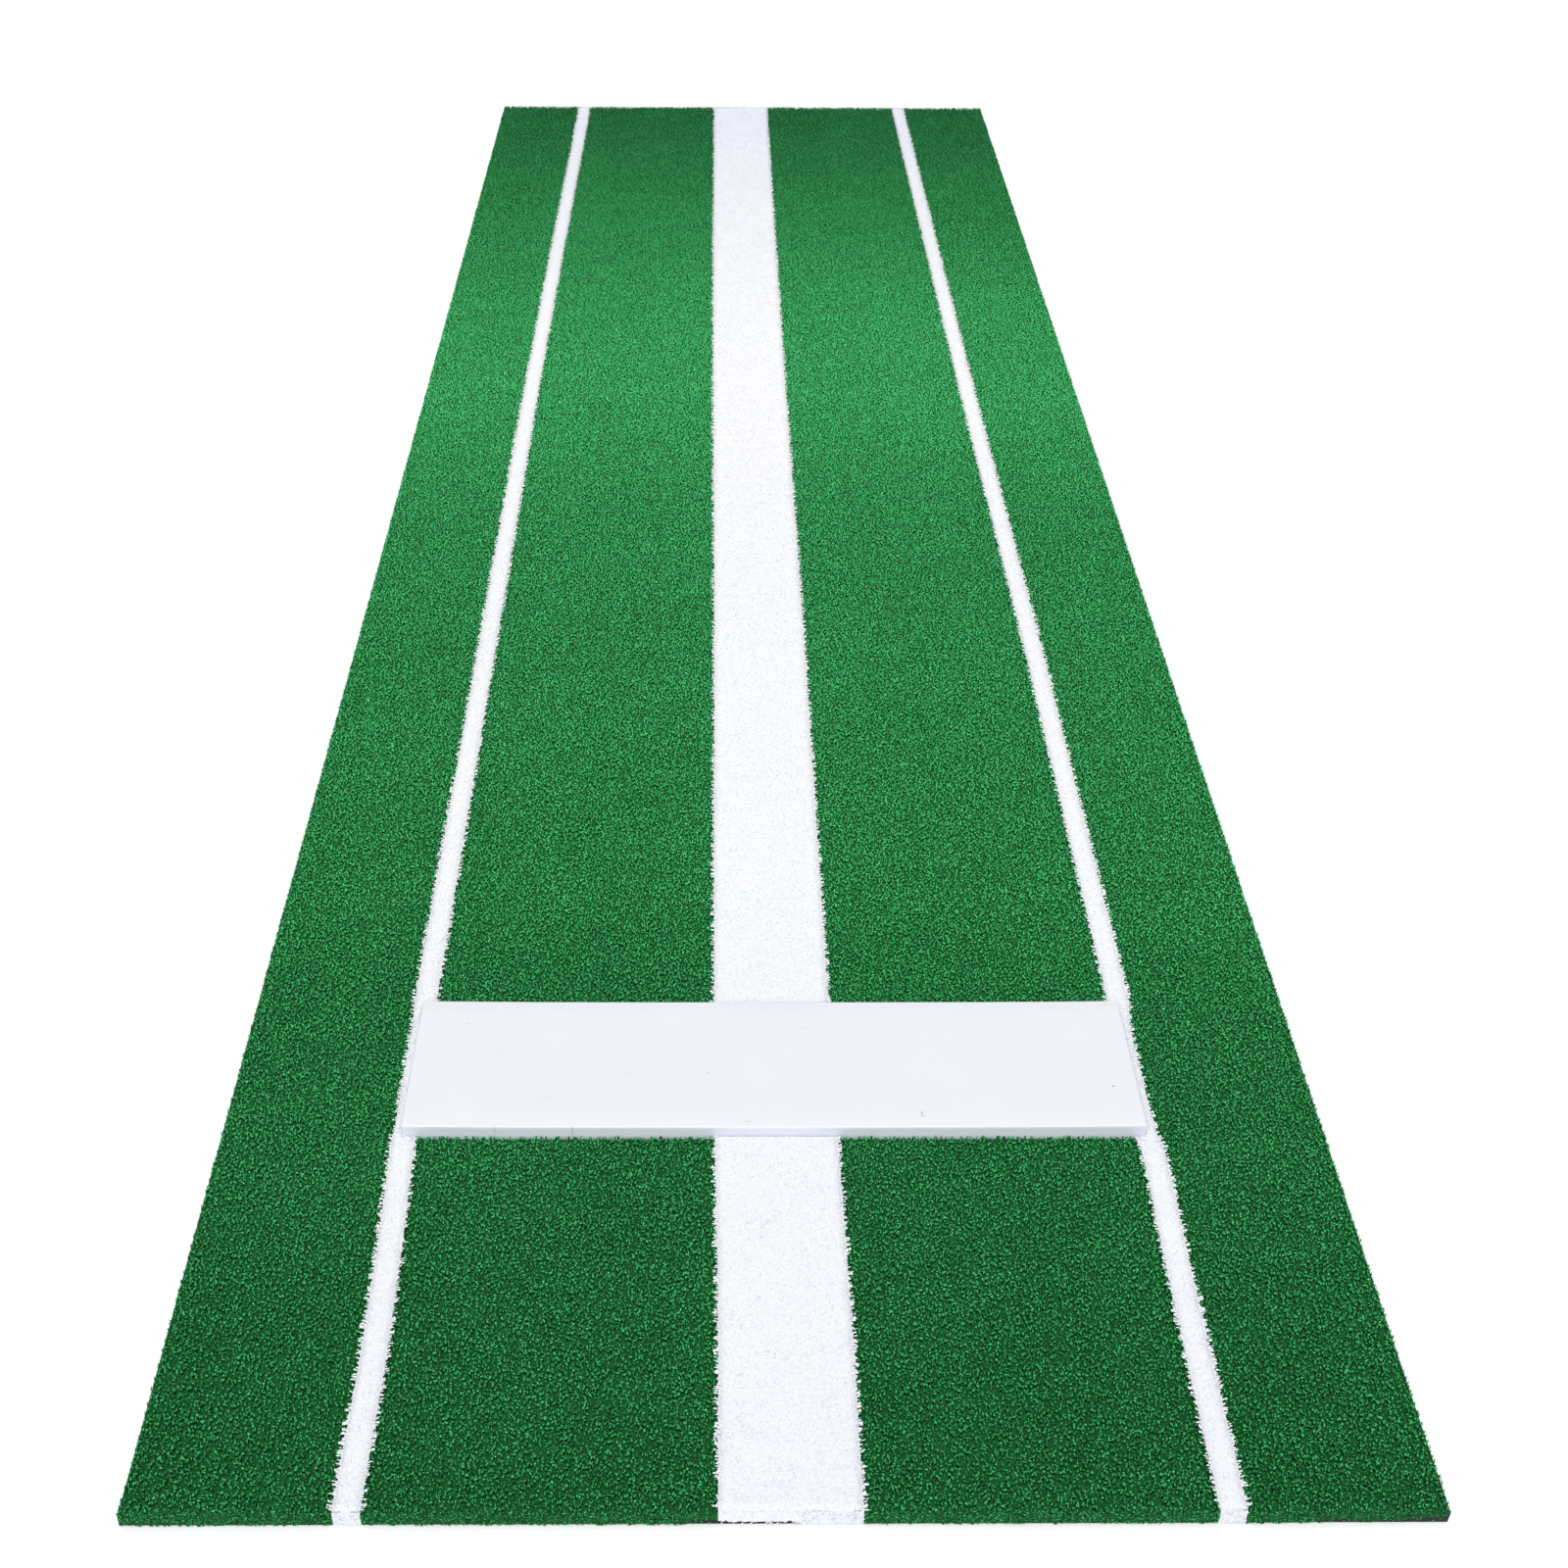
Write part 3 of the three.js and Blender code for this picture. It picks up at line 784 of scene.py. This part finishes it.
def rubber_material():
    """Moulded white rubber: a fine pebbled skin, faint clouding, sides a little bluer than the top as painted
    shade, small dark marks, and a soft shine that is duller where it is clouded."""
    made, shader, node = material("white_moulded_rubber")
    place = node("TexCoord").outputs["Object"]
    cloud = node("TexNoise", {"Vector": place, "Scale": 14.0, "Detail": 5.0}).outputs["Fac"]
    skin = node("TexNoise", {"Vector": place, "Scale": 900.0, "Detail": 3.0}).outputs["Fac"]
    colour = ramp(node, cloud, [(0.3, (0.69, 0.71, 0.745)), (0.7, (0.705, 0.725, 0.76))])
    marked = None
    for x, y, length, width, turn, dark in RUBBER_MARKS:
        spot = node("Mapping", {
            "Vector": place,
            "Location": (x, y, rubber_high[2]),
            "Rotation": (0, 0, math.radians(turn)),
            "Scale": (length * MARK_SPREAD * MM, width * MARK_SPREAD * MM, MARK_DEPTH),
        }, vector_type="TEXTURE").outputs["Vector"]
        near = node("TexGradient", {"Vector": spot}, gradient_type="SPHERICAL").outputs["Fac"]
        depth = node("Math", {0: near, 1: dark * MARK_STRENGTH}, operation="MULTIPLY", use_clamp=True)
        if marked is None:
            marked = depth.outputs["Value"]
        else:
            either = node("Math", {0: marked, 1: depth.outputs["Value"]}, operation="MAXIMUM")
            marked = either.outputs["Value"]
    # painted shade: below the rounded top edge the sides take a bluer colour than the top
    below = node("MapRange", {
        "Value": node("SeparateXYZ", {"Vector": place}).outputs["Z"],
        "From Min": rubber_high[2] - RUBBER_RADIUS,
        "From Max": rubber_high[2] - 2 * RUBBER_RADIUS,
    }).outputs["Result"]
    painted_side = node("Mix", {"Factor": below, "A": colour, "B": SIDE_PAINTED_SHADE}, data_type="RGBA")
    mixed = node("Mix", {"Factor": marked, "A": painted_side.outputs[2], "B": MARK_COLOUR}, data_type="RGBA")
    dull = node("MapRange", {"Value": cloud, "To Min": 0.5, "To Max": 0.62}).outputs["Result"]
    pebbles = node("Bump", {"Height": skin, "Strength": 0.25, "Distance": 0.1 * MM}).outputs["Normal"]
    feed(shader, Base_Color=mixed.outputs[2], Roughness=dull, Normal=pebbles, Specular_IOR_Level=0.35)
    return made


rubber_points, rubber_faces = rounded_slab(rubber_low, rubber_high, RUBBER_RADIUS)
rubber = mesh_object("pitching_rubber_slab", rubber_points, rubber_faces, smooth=True)
finish_piece(rubber, rubber_material(), "pitching_rubber")


# ---- fixings -------------------------------------------------------------------------------------
# Brass inserts moulded into the rubber take zinc-plated screws that come up through washers under the
# patch. They keep the shape they were turned or stamped to, and show only from below.

FIXINGS = range(1, 7)


def metal_material(name, dark, light, roughness):
    """Plated metal: slow clouding of its colour and shine, and fine turned scratches."""
    made, shader, node = material(name)
    place = node("TexCoord").outputs["Object"]
    cloud = node("TexNoise", {"Vector": place, "Scale": 260.0, "Detail": 4.0}).outputs["Fac"]
    scratch = node("TexNoise", {"Vector": place, "Scale": 2600.0, "Detail": 2.0}).outputs["Fac"]
    colour = ramp(node, cloud, [(0.35, dark), (0.7, light)])
    dull = node("MapRange", {"Value": cloud, "To Min": roughness - 0.1, "To Max": roughness + 0.12})
    lines = node("Bump", {"Height": scratch, "Strength": 0.15, "Distance": 0.05 * MM})
    feed(shader, Base_Color=colour, Roughness=dull.outputs["Result"], Normal=lines.outputs["Normal"],
         Metallic=1.0)
    return made


zinc = metal_material("zinc_plate", (0.42, 0.43, 0.45), (0.62, 0.63, 0.65), 0.36)
brass = metal_material("turned_brass", (0.45, 0.32, 0.12), (0.68, 0.5, 0.22), 0.38)
for number in FIXINGS:
    nodes[f"patch_screw_{number}"].data.materials[0] = zinc
    nodes[f"patch_washer_{number}"].data.materials[0] = zinc
    nodes[f"rubber_insert_{number}"].data.materials[0] = brass


# ---- floor, light and camera ---------------------------------------------------------------------
# A plain pale floor just under the mat, an even pale sky, one wide soft light from high behind the
# camera, and a camera a standing person's reach behind the mat's rear end, looking down along it.

HALF_FLOOR = 60
FLOOR_DROP = 0.5 * MM
floor_corners = np.array([[-1, -1, 0], [1, -1, 0], [1, 1, 0], [-1, 1, 0]]) * HALF_FLOOR - [0, 0, FLOOR_DROP]
floor = mesh_object("floor", floor_corners, [[0, 1, 2, 3]])
paper, paper_shader, paper_node = material("pale_floor")
feed(paper_shader, Base_Color=(0.97, 0.97, 0.97, 1), Roughness=0.9, Specular_IOR_Level=0.1)
floor.data.materials.append(paper)

world = bpy.data.worlds.new("studio")
world.use_nodes = True
world.node_tree.nodes["Background"].inputs["Color"].default_value = (0.99, 0.993, 1, 1)
world.node_tree.nodes["Background"].inputs["Strength"].default_value = 0.72
bpy.context.scene.world = world

lamp = bpy.data.lights.new("wide_light", "SUN")
lamp.angle = math.radians(50)
lamp.energy = 2.12
wide_light = bpy.data.objects.new("wide_light", lamp)
wide_light.rotation_euler = (math.radians(37), math.radians(-5), 0)
bpy.context.scene.collection.objects.link(wide_light)

view = bpy.data.cameras.new("camera")
view.lens = 46.07
view.sensor_width = 36
view.shift_x = 0.0311
camera = bpy.data.objects.new("camera", view)
camera.location = (-0.047, mat_rear - 0.8156, 1.2171)
camera.rotation_euler = [math.radians(turn) for turn in (54.066, -0.33, -0.3835)]
bpy.context.scene.collection.objects.link(camera)
bpy.context.scene.camera = camera
bpy.context.scene.view_settings.view_transform = "Standard"
